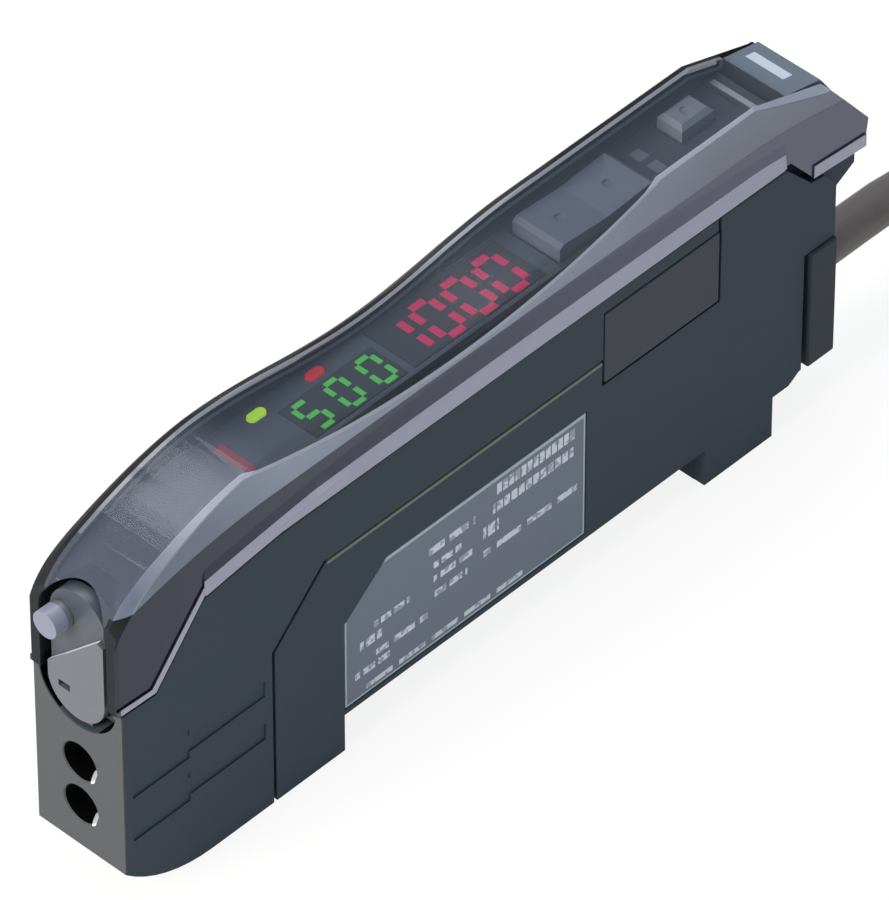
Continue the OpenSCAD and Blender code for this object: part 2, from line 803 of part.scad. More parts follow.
// Cable bush: flanged corner block with a tongue in the case and a short sleeve outside
module cable_bush() {
    proud = 0.25;
    groove = 0.5;
    half = case_half + proud;
    color("#3a4248") difference() {
        union() {
            box([bush_u + groove, -half, bush_low], [case_len, half, bush_high - seat_gap]);
            box([bush_u - tongue_len, -bay_half, cable_z - tongue_half],
                [bush_u + groove + eps, bay_half, cable_z + tongue_half]);
            bar_x(case_len - eps, case_len + 2.2, 0, cable_z, cable_d / 2 + 0.7);
        }
        bar_x(bush_u - 5, far, 0, cable_z, cable_d / 2 + seat_gap);
    }
}

// Straight and falling stretch of the cable, swept along its route
module cable() {
    sides = 8;
    count = len(cable_route);
    ahead = [for (i = [0:count - 1]) cable_route[min(i + 1, count - 1)] - cable_route[max(i - 1, 0)]];
    rings = [for (i = [0:count - 1], k = [0:sides - 1])
        let (a = 360 * k / sides, t = ahead[i] / norm(ahead[i]), up = [-t.z, 0, t.x])
        cable_route[i] + cable_d / 2 * (cos(a) * [0, 1, 0] + sin(a) * up)];
    skin = [for (i = [0:count - 2], k = [0:sides - 1])
        let (n = (k + 1) % sides)
        [i * sides + k, i * sides + n, (i + 1) * sides + n, (i + 1) * sides + k]];
    ends = [[for (k = [sides - 1:-1:0]) k], [for (k = [0:sides - 1]) (count - 1) * sides + k]];
    color("#6a6463") polyhedron(rings, concat(skin, ends));
}

// Oval of the hank about its two folds
module oval(r, z0, z1) {
    for (u = [0, hank_run]) translate([u, 0, z0]) cylinder(z1 - z0, r, r);
    box([0, -r, z0], [hank_run, r, z1]);
}

// Outer shape of the length that is tied into a hank
module cable_coil() {
    step = hank_high - cable_d;
    color("#6a6463") translate([hank_at.x, hank_at.y, 0]) difference() {
        oval(fold_out, hank_lift, hank_high);
        oval(fold_in, -far, far);
        oval(fold_mid, step, far);
    }
}

// Flat tie round the two lanes of the hank's far run
module coil_tie() {
    near = -fold_out - 3 * seat_gap;
    away = -fold_in + 3 * seat_gap;
    low = hank_lift - seat_gap;
    high = hank_high + seat_gap;
    middle = hank_at + [hank_run / 2, 0];
    color("#26282b") translate([middle.x, middle.y, 0]) difference() {
        box([-tie_w / 2, near - tie_t, low - tie_t], [tie_w / 2, away + tie_t, high + tie_t]);
        box([-tie_w, near, low], [tie_w, away, high]);
    }
}

// Stripped lead that lies on the hank's lower inner lane
module lead(index, shade) {
    step = lead_d + 0.05;
    y = hank_at.y + (fold_in + fold_mid) / 2 + (index % 2 - 0.5) * step;
    z = hank_high - cable_d + lead_d / 2 + 0.02 + floor(index / 2) * step;
    color(shade) bar_x(hank_at.x + lead_start, hank_at.x + lead_start + lead_len, y, z, lead_d / 2);
}
module lead_brown() {
    lead(0, "#6b4226");
}
module lead_blue() {
    lead(1, "#2f5fae");
}
module lead_black() {
    lead(2, "#222222");
}
module lead_white() {
    lead(3, "#dcdcdc");
}

// Shifts a piece so that the origin lies under the middle of the length
module placed() {
    translate([-mid_u, 0, 0]) children();
}

placed() main_case();
placed() side_cover();
placed() rating_label();
placed() dust_cover();
placed() panel_plate();
placed() green_display();
placed() green_digits();
placed() red_display();
placed() red_digits();
placed() lime_lamp();
placed() alarm_lamp();
placed() bar_lens();
placed() rocker_key();
placed() set_key();
placed() tact_switches();
placed() display_board();
placed() main_board();
placed() board_chips();
placed() optic_holder();
placed() emitter_led();
placed() receiver_diode();
placed() fibre_grip();
placed() fibre_lever();
placed() lever_pin();
placed() expansion_cover();
placed() expansion_socket();
placed() socket_pins();
placed() cable_bush();
cable();
cable_coil();
coil_tie();
lead_brown();
lead_blue();
lead_black();
lead_white();
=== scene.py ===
import math

import bpy
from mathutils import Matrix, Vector


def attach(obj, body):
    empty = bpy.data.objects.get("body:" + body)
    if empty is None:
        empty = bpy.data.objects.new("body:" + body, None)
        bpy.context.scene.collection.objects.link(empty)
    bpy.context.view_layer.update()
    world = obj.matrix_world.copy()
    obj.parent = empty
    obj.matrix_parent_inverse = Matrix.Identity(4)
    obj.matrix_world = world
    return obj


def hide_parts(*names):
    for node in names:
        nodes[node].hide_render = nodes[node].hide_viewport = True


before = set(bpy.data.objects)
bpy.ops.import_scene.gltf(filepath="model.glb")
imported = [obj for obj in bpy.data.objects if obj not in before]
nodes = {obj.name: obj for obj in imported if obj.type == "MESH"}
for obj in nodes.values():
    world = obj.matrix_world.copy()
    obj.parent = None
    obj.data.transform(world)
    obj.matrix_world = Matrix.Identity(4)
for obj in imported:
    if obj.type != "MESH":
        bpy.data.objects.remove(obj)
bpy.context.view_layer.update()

# Studio: a pale sheet under the amplifier, one broad lamp from the fibre end and an even sky.
# The sheet reads as white to the camera and in reflections, and keeps a soft shadow.
MM = 0.001
CAMERA_AWAY = 731.294
SHEET_GLOW = 0.86


def mm(x, y, z):
    """A point that is given in millimetres from the middle of the case."""
    return Vector((x, y, z)) * MM


aim = mm(-1, 0, 15)
towards_camera = Vector((-0.5279, -0.5016, 0.6854)).normalized()
camera_data = bpy.data.cameras.new("camera")
camera_data.lens = 420
camera_data.sensor_width = 36
camera_data.shift_x = 0.0006
camera_data.shift_y = 0.0137
camera_data.clip_start = 0.05
camera_data.clip_end = 20
camera = bpy.data.objects.new("camera", camera_data)
camera.location = aim + towards_camera * CAMERA_AWAY * MM
camera.rotation_euler = towards_camera.to_track_quat("Z", "Y").to_euler()
bpy.context.scene.collection.objects.link(camera)
bpy.context.scene.camera = camera
bpy.context.scene.view_settings.view_transform = "Standard"


class Field:
    """A value that varies over a surface. Arithmetic on it adds Math nodes to its material."""

    def __init__(self, finish, socket):
        self.finish = finish
        self.socket = socket

    def math(self, operation, first, second=0.0):
        made = self.finish.node("ShaderNodeMath", {"operation": operation}, {0: first, 1: second})
        return Field(self.finish, made.outputs[0])

    def __add__(self, other):
        return self.math("ADD", self, other)

    def __radd__(self, other):
        return self.math("ADD", other, self)

    def __sub__(self, other):
        return self.math("SUBTRACT", self, other)

    def __rsub__(self, other):
        return self.math("SUBTRACT", other, self)

    def __mul__(self, other):
        return self.math("MULTIPLY", self, other)

    def __rmul__(self, other):
        return self.math("MULTIPLY", other, self)

    def over(self, edge):
        return self.math("GREATER_THAN", self, edge)

    def under(self, edge):
        return self.math("LESS_THAN", self, edge)

    def most(self, other):
        return self.math("MAXIMUM", self, other)

    def least(self, other):
        return self.math("MINIMUM", self, other)

    def fract(self):
        return self.math("FRACT", self)

    def between(self, low, high):
        """1 where the value lies between the two edges."""
        return self.over(low) * self.under(high)

    def distance(self):
        """How far the value lies from 0, either way."""
        return self.most(self * -1)

    def ramp(self, low, high):
        """Rises evenly from 0 at low to 1 at high."""
        return ((self - low) * (1 / (high - low))).most(0).least(1)


class Finish:
    """A material under construction: its Principled shader and the nodes that feed it."""

    def __init__(self, name):
        self.material = bpy.data.materials.new(name)
        self.material.use_nodes = True
        self.tree = self.material.node_tree
        self.shader = self.tree.nodes["Principled BSDF"]
        self.place = self.node("ShaderNodeTexCoord").outputs["Object"]
        split = self.node("ShaderNodeSeparateXYZ", {}, {0: self.place})
        self.x, self.y, self.z = [Field(self, output) for output in split.outputs]

    def node(self, kind, settings=None, inputs=None):
        """Adds a node, makes its settings and then fills or links its sockets."""
        made = self.tree.nodes.new(kind)
        for key, value in (settings or {}).items():
            setattr(made, key, value)
        for key, value in (inputs or {}).items():
            self.feed(made.inputs[key], value)
        return made

    def feed(self, socket, value):
        """Sets a socket to a number or colour, or links a field to it."""
        if isinstance(value, Field):
            value = value.socket
        if isinstance(value, bpy.types.NodeSocket):
            self.tree.links.new(value, socket)
        else:
            socket.default_value = value

    def set(self, **values):
        """Fills the shader's sockets: Coat_Weight=0.3 fills Coat Weight."""
        for key, value in values.items():
            self.feed(self.shader.inputs[key.replace("_", " ")], value)

    def noise(self, size, detail=2.0):
        """Soft blotches about one size across, from 0 to 1."""
        inputs = {"Vector": self.place, "Scale": 1 / size, "Detail": detail}
        made = self.node("ShaderNodeTexNoise", {}, inputs)
        return Field(self, made.outputs[0])

    def specks(self, size):
        """Spark-eroded grain about one size across, from 0 to 1."""
        made = self.node("ShaderNodeTexVoronoi", {}, {"Vector": self.place, "Scale": 1 / size})
        return Field(self, made.outputs["Distance"])

    def blend(self, share, first, second):
        """Mixes two colours, or a colour and a mix, by a field."""
        made = self.node("ShaderNodeMix", {"data_type": "RGBA"}, {0: share, 6: first, 7: second})
        return made.outputs[2]

    def bump(self, height, depth):
        """Raises the surface by a field, to a depth in metres."""
        made = self.node("ShaderNodeBump", {}, {"Height": height, "Distance": depth, "Strength": 1.0})
        self.feed(self.shader.inputs["Normal"], made.outputs[0])


def tint(red, green, blue):
    """A colour given as it is read off a screen, from 0 to 255."""
    shares = [value / 255 for value in (red, green, blue)]
    linear = [s / 12.92 if s <= 0.04045 else ((s + 0.055) / 1.055) ** 2.4 for s in shares]
    return (*linear, 1.0)


bpy.ops.object.select_all(action="DESELECT")
bpy.ops.mesh.primitive_plane_add(size=6)
floor = bpy.context.object
floor.name = "floor"
sheet = Finish("studio_sheet")
sheet.set(Base_Color=tint(244, 244, 244), Roughness=0.9)
ray = sheet.node("ShaderNodeLightPath")
seen = Field(sheet, ray.outputs["Is Camera Ray"]).most(Field(sheet, ray.outputs["Is Glossy Ray"]))
seen = seen.most(Field(sheet, ray.outputs["Is Transmission Ray"]))
glow = sheet.node("ShaderNodeEmission", {}, {"Color": (1, 1, 1, 1), "Strength": 1.0})
layers = {0: seen * SHEET_GLOW, 1: sheet.shader.outputs[0], 2: glow.outputs[0]}
cast = sheet.node("ShaderNodeMixShader", {}, layers)
sheet.feed(sheet.tree.nodes["Material Output"].inputs["Surface"], cast.outputs[0])
floor.data.materials.append(sheet.material)

world = bpy.data.worlds.new("sky")
world.use_nodes = True
bpy.context.scene.world = world
sky = world.node_tree.nodes["Background"]
sky.inputs["Color"].default_value = (0.82, 0.94, 1.11, 1)
sky.inputs["Strength"].default_value = 0.52


def lamp(name, at, size, power, colour):
    """A square soft box that faces the amplifier."""
    data = bpy.data.lights.new(name, "AREA")
    data.color = colour
    data.size = size
    data.energy = power
    box = bpy.data.objects.new(name, data)
    box.location = at
    box.rotation_euler = (Vector(at) - aim).to_track_quat("Z", "Y").to_euler()
    bpy.context.scene.collection.objects.link(box)


lamp("fibre_end_box", (-0.75, 0.1, 0.42), 0.5, 14.0, (1, 0.92, 0.79))
lamp("overhead_box", (0.1, 0.25, 0.9), 0.6, 5.0, (1, 1, 1))

# Cable: a round grey-brown sheath of soft vinyl that leaves the rear bush, falls to the bench
# and is folded into a tied hank in line with the case. Its end is stripped to four leads.
CABLE_D = 3.4
HANK_AT = (74.0, -13.8)
HANK_RUN = 58.0
HANK_LIFT = 0.45
LANES = (13.8, 10.4)
ROWS = 7
SHIFT = 0.4
LANE_SHIFT_AT = 2.5
CLIMB_AT = 6.02
ROW_PHASES = 6
LAST_PHASE = 40
STEPS = 20
fall = [
    (37, 0, 9.5), (42, 0, 9.5), (45, 0, 9.45), (48, 0, 9.1), (51, 0, 8.2), (54, 0, 6.9), (57, 0, 5.45),
    (60, 0, 4.15), (63, 0, 3.1), (66, 0, 2.45), (69, 0, 2.2),
]


def ease(share):
    """A smooth step from 0 to 1."""
    share = min(max(share, 0), 1)
    return share * share * (3 - 2 * share)


def hank_point(phase):
    """A point of the winding. A turn has four phases: two runs, each with the fold after it."""
    radius = LANES[0]
    row = 0
    for start in range(0, ROW_PHASES * (ROWS - 1), ROW_PHASES):
        side = 1 if start % (2 * ROW_PHASES) == 0 else -1
        radius += side * (LANES[1] - LANES[0]) * ease((phase - start - LANE_SHIFT_AT) / SHIFT)
        row += ease((phase - start - CLIMB_AT) / SHIFT)
    leg = int(phase) % 4
    share = phase % 1
    reach = (share, 1, 1 - share, 0)[leg] * HANK_RUN
    bearing = math.radians((90, 90 - 180 * share, -90, -90 - 180 * share)[leg])
    return (
        HANK_AT[0] + reach + radius * math.cos(bearing),
        HANK_AT[1] + radius * math.sin(bearing),
        HANK_LIFT + CABLE_D * (row + 0.5),
    )


def tube(name, points, diameter, finish):
    """A round curve through points in millimetres, riding on the case."""
    data = bpy.data.curves.new(name, "CURVE")
    data.dimensions = "3D"
    data.bevel_depth = diameter / 2 * MM
    data.bevel_resolution = 4
    data.resolution_u = 2
    data.use_fill_caps = True
    line = data.splines.new("POLY")
    line.points.add(len(points) - 1)
    for knot, point in zip(line.points, points):
        knot.co = (*mm(*point), 1)
    line.use_smooth = True
    piece = bpy.data.objects.new(name, data)
    bpy.context.scene.collection.objects.link(piece)
    data.materials.append(finish.material)
    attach(piece, "housing")
    return piece


vinyl = Finish("cable_vinyl")
scuff = vinyl.noise(0.0022, 3)
vinyl.set(
    Base_Color=vinyl.blend(scuff, tint(84, 78, 76), tint(104, 97, 93)),
    Roughness=0.48 + 0.16 * scuff,
    Specular_IOR_Level=0.4,
)
vinyl.bump(vinyl.noise(0.0004, 1), 0.00002)
wound = [hank_point(step / STEPS) for step in range(LAST_PHASE * STEPS + 1)]
cable_route = fall + wound
sheath = tube("cable_sheath", cable_route, CABLE_D, vinyl)
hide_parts("cable", "cable_coil")

LEAD_D = 1.1
LEAD_STEP = LEAD_D + 0.05
LEAD_LIFT = 0.02
LEAD_END = 128
LEAD_STRIDE = 4
BEND = 10
lead_colours = {
    "lead_brown": tint(112, 70, 42),
    "lead_blue": tint(48, 96, 176),
    "lead_black": tint(36, 36, 38),
    "lead_white": tint(226, 226, 222),
}
end_x, end_y, end_z = wound[-1]
lay_y = HANK_AT[1] + LANES[1]
lay_z = HANK_LIFT + (ROWS - 1) * CABLE_D + LEAD_D / 2 + LEAD_LIFT
for index, (name, colour) in enumerate(lead_colours.items()):
    skin = Finish(name + "_skin")
    mottle = skin.noise(0.0015)
    skin.set(Base_Color=skin.blend(mottle * 0.25, colour, tint(150, 150, 150)), Roughness=0.4 + 0.15 * mottle)
    aside = (index % 2 - 0.5) * LEAD_STEP
    above = (index // 2) * LEAD_STEP
    lay = []
    for along in [*range(BEND), *range(BEND, int(LEAD_END - end_x) + 1, LEAD_STRIDE)]:
        share = ease(along / BEND)
        lay.append((
            end_x + along,
            end_y + aside + (lay_y - end_y) * share,
            end_z + above - LEAD_STEP / 2 + (lay_z + LEAD_STEP / 2 - end_z) * share,
        ))
    lead = tube(name + "_wire", lay, LEAD_D, skin)
    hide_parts(name)

# Case and side cover: two injection-moulded halves of charcoal plastic, spark-eroded to a fine
# grain. The side cover is snapped and welded into the label side along the long seam. Painted light
# and shade on the case: a painted highlight along the seam, a painted shadow under the cover's rim,
# a front face painted paler as lit from the fibre end, painted shade inside the ports and the
# lever's recess, and a painted glint on each port's lip.
FRONT_TO_MIDDLE = 37
FRONT_FACE_U = 0.15
CASE_FACE = 0.004
SEAM_U = (20, 59.8)
SEAM_Z = (0.01905, 0.01962)
SEAM_FACE = -0.003
RECESS_U = (0.1, 8)
RECESS_Y = (-0.0037, 0.0037)
RECESS_Z = (0.0155, 0.028)
PORT_R = 0.00175
PORT_Z = (0.01155, 0.00745)
PORT_U = (0.12, 14)
PORT_LIP_U = 1.3
SPOT_SIDE = 0.00103
SPOT_DROP = 0.00093
SPOT_R = 0.0004
RIM_MID_U = 41
RIM_CREST = 0.0266
RIM_BEND = 2.05
LIP_CREST = 0.02545
LIP_BEND = 0.3
RIM_SHADE = (-0.0004, 0.0002)
BLOCK_U = (67.6, 71.4)
BLOCK_Z = (0.0294, 0.032)
BAR_U = (69.1, 70.1)
BAR_Y = (-0.0014, 0.0022)


def case_x(u):
    """The frame's X, in metres, of a place counted in millimetres from the front face."""
    return (u - FRONT_TO_MIDDLE) * MM


def stretch(ends):
    """The frame's X of both ends of a stretch of the case."""
    return [case_x(u) for u in ends]


def disc(across, up, radius):
    """1 inside a circle."""
    return (across * across + up * up).under(radius * radius)


def bow(away, crest, bend):
    """Height of a line that bends down on both sides of its crest, or up where bend is negative."""
    return crest - bend * away * away


def dress(finish, *names):
    """Gives the finish to CAD pieces."""
    for name in names:
        nodes[name].data.materials.clear()
        nodes[name].data.materials.append(finish.material)


def soften(name, width):
    """Rounds the moulded edges of a CAD piece by a small radius, with its flat faces kept flat."""
    piece = nodes[name]
    weld = piece.modifiers.new("weld", "WELD")
    weld.merge_threshold = 0.000002
    bevel = piece.modifiers.new("edge", "BEVEL")
    bevel.width = width
    bevel.segments = 2
    bevel.limit_method = "ANGLE"
    bevel.angle_limit = math.radians(35)
    bevel.harden_normals = True
    bevel.use_clamp_overlap = True


charcoal = Finish("case_plastic")
cloud = charcoal.noise(0.007, 3)
# Painted highlight: a pale line along the long seam of the side cover.
seam_highlight = charcoal.x.between(*stretch(SEAM_U)) * charcoal.z.between(*SEAM_Z)
seam_highlight = seam_highlight * charcoal.y.under(SEAM_FACE)
# Painted shade: the lever's recess and the insides of the ports are painted near black, with metal and
# roughness that keep them dark.
hollow_shade = charcoal.x.between(*stretch(RECESS_U)) * charcoal.z.between(*RECESS_Z)
hollow_shade = hollow_shade * charcoal.y.between(*RECESS_Y)
# Painted glint: a pale spot low on the lip of each port.
port_glints = 0.0
for port_z in PORT_Z:
    rise = charcoal.z - port_z
    mouth = disc(charcoal.y, rise, PORT_R)
    hollow_shade = hollow_shade.most(mouth * charcoal.x.between(*stretch(PORT_U)))
    port_lip = mouth * charcoal.x.under(case_x(PORT_LIP_U))
    port_glints = port_lip * disc(charcoal.y + SPOT_SIDE, rise + SPOT_DROP, SPOT_R) + port_glints
# Painted shadow: a dark strip on the case just under the cover's rim.
from_mid = charcoal.x - case_x(RIM_MID_U)
rim_foot = bow(from_mid, RIM_CREST, RIM_BEND).least(bow(from_mid, LIP_CREST, LIP_BEND))
rim_shadow = charcoal.y.distance().over(CASE_FACE) * (charcoal.z - rim_foot).between(*RIM_SHADE)
block = charcoal.x.between(*stretch(BLOCK_U)) * charcoal.z.between(*BLOCK_Z)
block_bar = block * charcoal.x.between(*stretch(BAR_U)) * charcoal.y.between(*BAR_Y)
shell = charcoal.blend(cloud, tint(43, 53, 62), tint(49, 59, 68))
shell = charcoal.blend(seam_highlight, shell, tint(104, 108, 101))
shell = charcoal.blend(rim_shadow, shell, tint(24, 28, 33))
# Painted light: the front face is painted paler than the sides, as lit from the fibre end.
shell = charcoal.blend(charcoal.x.under(case_x(FRONT_FACE_U)), shell, tint(63, 66, 70))
shell = charcoal.blend(hollow_shade, shell, tint(10, 11, 12))
shell = charcoal.blend(port_glints, shell, tint(190, 192, 196))
shell = charcoal.blend(block, shell, tint(94, 103, 115))
charcoal.set(
    Base_Color=charcoal.blend(block_bar, shell, tint(170, 178, 190)),
    Roughness=0.5 + 0.14 * cloud + 0.36 * hollow_shade,
    Metallic=hollow_shade,
    Specular_IOR_Level=0.12,
)
charcoal.bump(charcoal.specks(0.0003), 0.000006)
dress(charcoal, "main_case", "side_cover")
soften("main_case", 0.00016)
soften("side_cover", 0.00014)

# Rating label: a thin slate film in a shallow recess of the side cover, printed in a paler grey.
# The print is plain bars in the places of its lines, inside a fine border. Each row of bars runs
# from start to end and from foot to head, in millimetres, and is broken into dashes of one length.
LABEL_U = (21.7, 46.0)
LABEL_Z = (4.0, 15.6)
BORDER = 0.16
DASH_SHARE = 0.8
label_rows = [
    (37.0, 45.0, 13.9, 14.9, 0.62), (36.6, 44.8, 12.3, 13.2, 0.74),
    (30.1, 34.8, 12.7, 13.4, 2.4), (30.6, 33.4, 11.2, 11.8, 1.4),
    (30.6, 34.5, 9.9, 10.5, 1.9), (30.7, 34.0, 8.4, 9.0, 1.6),
    (35.6, 37.2, 10.5, 11.6, 0.9), (35.6, 45.2, 8.8, 9.4, 3.1),
    (24.6, 28.2, 9.7, 10.3, 1.3), (23.2, 25.4, 8.4, 9.2, 1.1),
    (24.8, 30.0, 6.9, 7.5, 2.6), (22.7, 26.2, 5.9, 6.5, 1.5),
    (23.5, 40.2, 4.4, 4.85, 3.3),
]
film = Finish("label_film")
tone = film.noise(0.009)
printed = 0.0
for start, end, foot, head, dash in label_rows:
    row = film.x.between(case_x(start), case_x(end)) * film.z.between(foot * MM, head * MM)
    broken = (film.x * (1 / (dash * MM))).fract().under(DASH_SHARE)
    printed = row * broken + printed
printed = printed * (0.35 + 0.65 * film.noise(0.0005).over(0.47))
inside = film.x.between(case_x(LABEL_U[0] + BORDER), case_x(LABEL_U[1] - BORDER))
inside = inside * film.z.between((LABEL_Z[0] + BORDER) * MM, (LABEL_Z[1] - 2 * BORDER) * MM)
slate = film.blend(tone, tint(80, 90, 105), tint(87, 97, 113))
bordered = film.blend(inside, tint(146, 156, 162), slate)
film.set(
    Base_Color=film.blend(printed * 0.85, bordered, tint(196, 201, 208)),
    Roughness=0.46 + 0.1 * tone,
)
dress(film, "rating_label")

# Smoked cover: one clear moulding of smoke-grey polycarbonate, polished outside, with a flared
# rim to lift it by. Its colour carries painted light and shade: painted highlights along its edges,
# its rim band and its far side, a painted sheen on its upper flanks, and painted shade on its inner
# walls and front faces. Its lower flanks are dark, partly as thick smoke and partly as painted shade.
WALL_FACE = 0.00322
INNER_FACE = 0.00292
FLANK_FACE = 0.00398
BAND_FACE = 0.00416
BAND_CREST = 0.02705
BAND_BEND = 0.5
LEAN = math.tan(math.radians(10))
SHOULDER = 0.029
FRONT_BEND_U = 15
FRONT_RUN = 0.0153
FRONT_DROP = 0.0024
REAR_BEND_U = 61
REAR_RUN = 0.0144
REAR_DROP = 0.002
CLEAR_MID_U = 33
CLEAR_LOW = 0.02955
CLEAR_BEND = -5.75
LINE_W = 0.0003
FAR_LINE_Y = (0.0026, 0.0029)
FAR_LINE_Z = (SHOULDER, 0.04)
smoke = Finish("smoked_plastic")
haze = smoke.noise(0.012)
before = ((case_x(FRONT_BEND_U) - smoke.x) * (1 / FRONT_RUN)).most(0)
behind = ((smoke.x - case_x(REAR_BEND_U)) * (1 / REAR_RUN)).most(0)
shoulder = SHOULDER - FRONT_DROP * before * before - REAR_DROP * behind * behind
clear_line = bow(smoke.x - case_x(CLEAR_MID_U), CLEAR_LOW, CLEAR_BEND)
from_middle = smoke.y.distance()
wall = from_middle.over(WALL_FACE) * (1 - smoke.z.over(clear_line))
outer_skin = (from_middle + LEAN * (smoke.z - shoulder).most(0)).over(FLANK_FACE)
flank = wall * outer_skin
upper = smoke.z.over(shoulder)
thick = flank * (1 - upper)
# Painted highlight: the flared rim band is painted pale.
band_top = bow(smoke.x - case_x(RIM_MID_U), BAND_CREST, BAND_BEND)
band = from_middle.over(BAND_FACE) * smoke.z.under(band_top)
# Painted highlight: a pale line along the cover's top edges and along the clear line on its flanks.
edge = (wall * upper * (1 - flank)).most(flank * smoke.z.over(clear_line - LINE_W))
# Painted shade: the inner faces of the walls are painted near black, rougher and more opaque.
inner_wall = smoke.y.over(INNER_FACE).most(smoke.y.under(-INNER_FACE) * (1 - upper)) * (1 - outer_skin)
# Painted highlight: a pale line near the far side of the top.
far_highlight = smoke.y.between(*FAR_LINE_Y) * smoke.z.between(*FAR_LINE_Z)
dense = thick.most(inner_wall)
fade_in = smoke.x.ramp(case_x(2), case_x(9))
# Painted sheen: the upper flanks are painted paler than the top, palest over the front half behind the front
# end.
facet_sheen = smoke.blend(haze, tint(104, 107, 120), tint(120, 123, 136))
facet_sheen = smoke.blend(smoke.x.ramp(case_x(38), case_x(60)), tint(137, 144, 160), facet_sheen)
facet_sheen = smoke.blend(smoke.x.ramp(case_x(8), case_x(17)), tint(106, 113, 128), facet_sheen)
# The lower flanks are painted dark, darkest toward the front: partly the thick smoke's own colour, partly
# painted shade.
depth = smoke.blend(smoke.x.ramp(case_x(4), case_x(66)), tint(37, 42, 57), tint(82, 84, 100))
veil = smoke.blend(smoke.x.ramp(case_x(12), case_x(16)), tint(88, 95, 112), tint(58, 65, 76))
coat = smoke.blend(flank * upper, veil, facet_sheen)
coat = smoke.blend(thick, coat, depth)
coat = smoke.blend(edge * fade_in, coat, tint(156, 159, 173))
coat = smoke.blend(far_highlight * fade_in, coat, tint(104, 108, 118))
coat = smoke.blend(inner_wall, coat, tint(16, 18, 21))
coat = smoke.blend(band, coat, tint(140, 139, 155))
# Painted shade: the cover's front faces are painted dark.
coat = smoke.blend(smoke.x.under(case_x(0)), coat, tint(30, 32, 38))
smoke.set(
    Base_Color=coat,
    Roughness=0.1 + 0.06 * haze + 0.5 * inner_wall,
    Metallic=0.7 * dense * (1 - band),
    Alpha=0.28 + 0.05 * haze + 0.5 * wall.most(inner_wall).most(far_highlight) + 0.15 * dense,
    Specular_IOR_Level=0.5,
)
dress(smoke, "dust_cover")
soften("dust_cover", 0.00016)

# Rim lip: the lowest part of the cover's rim, a thin lip of the same smoked plastic, moulded in
# one with the cover on both sides. It hangs over the case and makes the rim's edge straighter.
LIP_U = (15.6, 66.3)
LIP_STEPS = 32
LIP_OVERLAP = 0.0004
LIP_T = 0.00009
RIM_FACE = 0.004306
FLARE = 0.25 / 2.2
bpy.ops.mesh.primitive_grid_add(x_subdivisions=LIP_STEPS, y_subdivisions=1, size=1)
rim_lip = bpy.context.object
rim_lip.name = "rim_lip"
for point in rim_lip.data.vertices:
    along = case_x(LIP_U[0] + (LIP_U[1] - LIP_U[0]) * (point.co.x + 0.5))
    away = along - case_x(RIM_MID_U)
    rim_z = bow(away, RIM_CREST, RIM_BEND)
    point_z = rim_z + LIP_OVERLAP if point.co.y > 0 else bow(away, LIP_CREST, LIP_BEND)
    point.co = (along, -RIM_FACE - FLARE * (rim_z - point_z), point_z)
thickness = rim_lip.modifiers.new("thickness", "SOLIDIFY")
thickness.thickness = LIP_T
both_sides = rim_lip.modifiers.new("both_sides", "MIRROR")
both_sides.use_axis = (False, True, False)
for step in ("thickness", "both_sides"):
    bpy.ops.object.modifier_apply(modifier=step)
rim_lip.data.materials.append(smoke.material)
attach(rim_lip, "cover")

# Panel: a dark plate on top of the neck with a glossy window over the displays. A white line
# crosses it in front of the rear block and small marks stand between the keys.
WINDOW_U = (14.6, 45.0)
WINDOW_Y = (-0.0028, 0.0028)
FRONT_END_U = 14.4
WHITE_LINE_U = (65.9, 66.4)
WHITE_LINE_Y = (-0.0014, 0.0027)
MARK_U = (56.6, 57.6)
MARK_Y = ((0.0007, 0.0018), (-0.001, 0.0001))
plate = Finish("panel_plastic")
wear = plate.noise(0.004)
window = plate.x.between(*stretch(WINDOW_U)) * plate.y.between(*WINDOW_Y)
white_line = plate.x.between(*stretch(WHITE_LINE_U)) * plate.y.between(*WHITE_LINE_Y)
marks = plate.y.between(*MARK_Y[0]) + plate.y.between(*MARK_Y[1])
marks = marks * plate.x.between(*stretch(MARK_U))
ground = plate.blend(window, plate.blend(wear, tint(66, 72, 83), tint(74, 80, 91)), tint(80, 92, 106))
ground = plate.blend(marks, ground, tint(128, 134, 146))
ground = plate.blend(plate.x.under(case_x(FRONT_END_U)), ground, tint(72, 78, 89))
plate.set(
    Base_Color=plate.blend(white_line, ground, tint(200, 204, 210)),
    Roughness=0.45 - 0.25 * window,
)
dress(plate, "panel_plate")
soften("panel_plate", 0.0001)

# Displays: two blocks of dark cast resin that fill the panel's openings. Each digit is seven
# strokes of glowing resin, green in the smaller row and pink-red in the larger one.


def lit(name, base, light, strength):
    """A lens or stroke that glows, a little uneven as moulded lenses are."""
    made = Finish(name)
    uneven = made.noise(0.0006)
    made.set(
        Base_Color=base, Roughness=0.25 + 0.1 * uneven,
        Emission_Color=made.blend(uneven * 0.3, light, base), Emission_Strength=strength,
    )
    return made


for name, dark in (("green_display", tint(52, 62, 64)), ("red_display", tint(62, 60, 68))):
    resin = Finish(name + "_resin")
    swirl = resin.noise(0.002)
    resin.set(Base_Color=resin.blend(swirl, dark, tint(58, 63, 70)), Roughness=0.12 + 0.06 * swirl)
    dress(resin, name)
dress(lit("green_light", tint(50, 120, 50), tint(80, 215, 75), 0.9), "green_digits")
dress(lit("red_light", tint(120, 8, 40), tint(208, 0, 92), 1.05), "red_digits")

